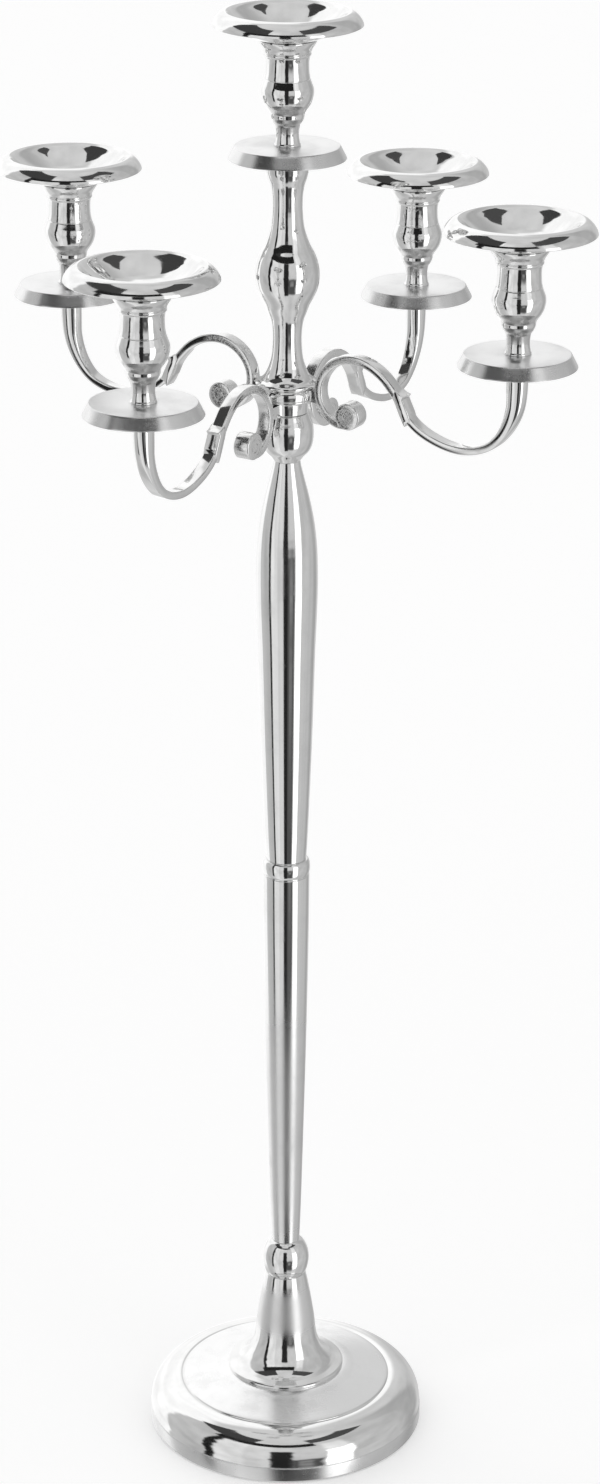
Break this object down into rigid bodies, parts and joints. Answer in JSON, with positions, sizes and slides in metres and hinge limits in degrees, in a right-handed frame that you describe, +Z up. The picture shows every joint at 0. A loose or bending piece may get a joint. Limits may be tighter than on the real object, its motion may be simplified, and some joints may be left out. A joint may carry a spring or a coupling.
{
  "type": "candelabra",
  "caption": "Tall candelabra: a turned stem on a round base carries crossed pairs of scrolled arms and a centre column, each ending in a drip plate, a candle socket and a lift-out pillar dish.",
  "frame": {"origin": "centre of the round base on the surface that it stands on", "axes": "+Z up the stem; the upper arms lie along X and the lower arms along Y"},
  "size_m": [0.45, 0.45, 1.046],
  "materials": {
    "polished": "mirror-polished bright nickel plate",
    "polished_casting": "bright plated casting, polished outside, slightly rough in the scrolls",
    "base": "mirror-polished shoulder and rim, satin disc",
    "satin": "fine satin brushing",
    "dish": "mirror-polished",
    "steel": "zinc-plated steel",
    "felt": "short pressed felt"
  },
  "bodies": {
    "root": {"base_casting": "base", "felt_ring": "felt", "base_stud": "steel", "base_washer": "steel", "base_nut": "steel", "foot_cone": "satin", "neck_ball": "polished", "lower_shaft": "polished", "lower_shaft_bottom_insert": "steel", "lower_shaft_top_insert": "steel", "shaft_collar": "polished", "shaft_stud": "steel", "upper_shaft": "polished", "upper_shaft_bottom_insert": "steel", "upper_shaft_top_insert": "steel", "hub_ball": "polished", "hub_rod": "steel", "centre_column": "polished", "rod_nut": "steel", "drip_plate_centre": "satin", "candle_socket_centre": "polished"},
    "lower_arm_pair": {"lower_arms": "polished_casting", "drip_plate_back_right": "satin", "candle_socket_back_right": "polished", "socket_screw_back_right": "steel", "drip_plate_front_left": "satin", "candle_socket_front_left": "polished", "socket_screw_front_left": "steel"},
    "upper_arm_pair": {"upper_arms": "polished_casting", "drip_plate_front_right": "satin", "candle_socket_front_right": "polished", "socket_screw_front_right": "steel", "drip_plate_back_left": "satin", "candle_socket_back_left": "polished", "socket_screw_back_left": "steel"},
    "dish_centre": {"pillar_dish_centre": "dish", "dish_peg_centre": "steel"},
    "dish_front_right": {"pillar_dish_front_right": "dish", "dish_peg_front_right": "steel"},
    "dish_back_left": {"pillar_dish_back_left": "dish", "dish_peg_back_left": "steel"},
    "dish_back_right": {"pillar_dish_back_right": "dish", "dish_peg_back_right": "steel"},
    "dish_front_left": {"pillar_dish_front_left": "dish", "dish_peg_front_left": "steel"}
  },
  "joints": [
    {"name": "lower_arm_swivel", "type": "hinge", "parent": "root", "child": "lower_arm_pair", "pos_m": [0, 0, 0.7755], "axis": [0, 0, 1], "continuous": true},
    {"name": "upper_arm_swivel", "type": "hinge", "parent": "lower_arm_pair", "child": "upper_arm_pair", "pos_m": [0, 0, 0.7855], "axis": [0, 0, 1], "range_deg": [-50, 50]},
    {"name": "dish_lift_centre", "type": "slide", "parent": "root", "child": "dish_centre", "axis": [0, 0, 1], "range_m": [0, 0.03]},
    {"name": "dish_lift_front_right", "type": "slide", "parent": "upper_arm_pair", "child": "dish_front_right", "axis": [0, 0, 1], "range_m": [0, 0.03]},
    {"name": "dish_lift_back_left", "type": "slide", "parent": "upper_arm_pair", "child": "dish_back_left", "axis": [0, 0, 1], "range_m": [0, 0.03]},
    {"name": "dish_lift_back_right", "type": "slide", "parent": "lower_arm_pair", "child": "dish_back_right", "axis": [0, 0, 1], "range_m": [0, 0.03]},
    {"name": "dish_lift_front_left", "type": "slide", "parent": "lower_arm_pair", "child": "dish_front_left", "axis": [0, 0, 1], "range_m": [0, 0.03]}
  ]
}
